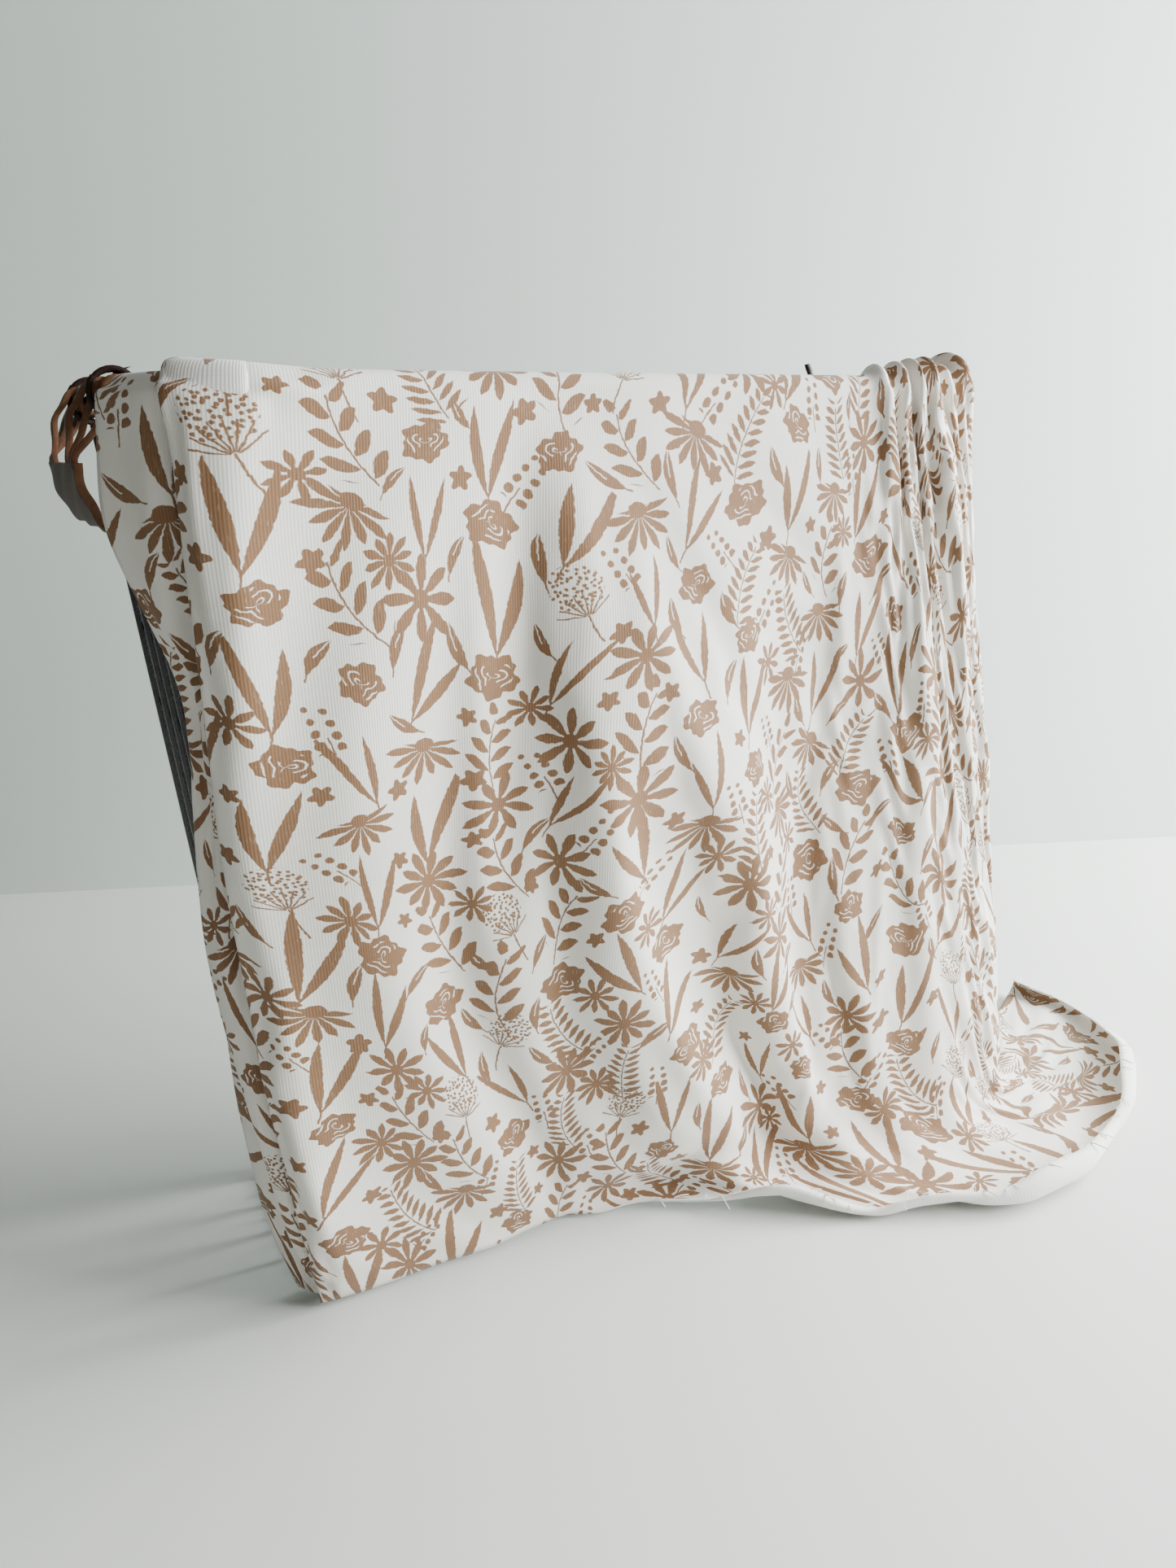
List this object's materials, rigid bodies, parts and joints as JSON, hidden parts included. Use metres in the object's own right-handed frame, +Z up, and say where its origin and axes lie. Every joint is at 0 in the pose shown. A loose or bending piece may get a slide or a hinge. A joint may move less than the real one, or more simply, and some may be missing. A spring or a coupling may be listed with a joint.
{
  "type": "wire carrier with a jersey wrap",
  "caption": "Tapered wire carrier basket with leather drop handles and a soft printed jersey baby wrap draped over its front rim.",
  "frame": {"origin": "on the table under the middle of the base hoop", "axes": "+Z up, -Y towards the draped front, +X towards the end whose corner carries the gathered cloth"},
  "size_m": [0.479, 0.2305, 0.3427],
  "materials": {
    "black_wire": "gloss",
    "leather": "satin",
    "dark_thong": "satin",
    "jersey": "matte"
  },
  "bodies": {
    "basket": {"rim": "black_wire", "upper_hoop": "black_wire", "lower_hoop": "black_wire", "base_hoop": "black_wire", "front_uprights": "black_wire", "back_uprights": "black_wire", "left_uprights": "black_wire", "right_uprights": "black_wire", "front_left_uprights": "black_wire", "front_right_uprights": "black_wire", "back_left_uprights": "black_wire", "back_right_uprights": "black_wire", "base_long_wires": "black_wire", "base_cross_wires": "black_wire", "rim_end_knob": "black_wire", "upper_hoop_tie": "black_wire", "lower_hoop_tie": "black_wire"},
    "left_handle": {"left_band": "leather", "left_front_thongs": "leather", "left_back_thongs": "leather", "left_front_lashings": "leather", "left_back_lashings": "leather", "left_front_tie": "dark_thong", "left_back_tie": "dark_thong"},
    "right_handle": {"right_band": "leather", "right_front_thongs": "leather", "right_back_thongs": "leather", "right_front_lashings": "leather", "right_back_lashings": "leather", "right_front_tie": "dark_thong", "right_back_tie": "dark_thong"},
    "wrap_body": {"wrap": "jersey"}
  },
  "joints": [
    {"name": "left_handle_swing", "type": "hinge", "parent": "basket", "child": "left_handle", "pos_m": [-0.158, 0, 0.327], "axis": [0, 1, 0], "range_deg": [0, 175]},
    {"name": "right_handle_swing", "type": "hinge", "parent": "basket", "child": "right_handle", "pos_m": [0.158, 0, 0.327], "axis": [0, -1, 0], "range_deg": [0, 175]},
    {"name": "wrap_lift", "type": "slide", "parent": "basket", "child": "wrap_body", "axis": [0, 0, 1], "range_m": [0, 0.45]}
  ]
}
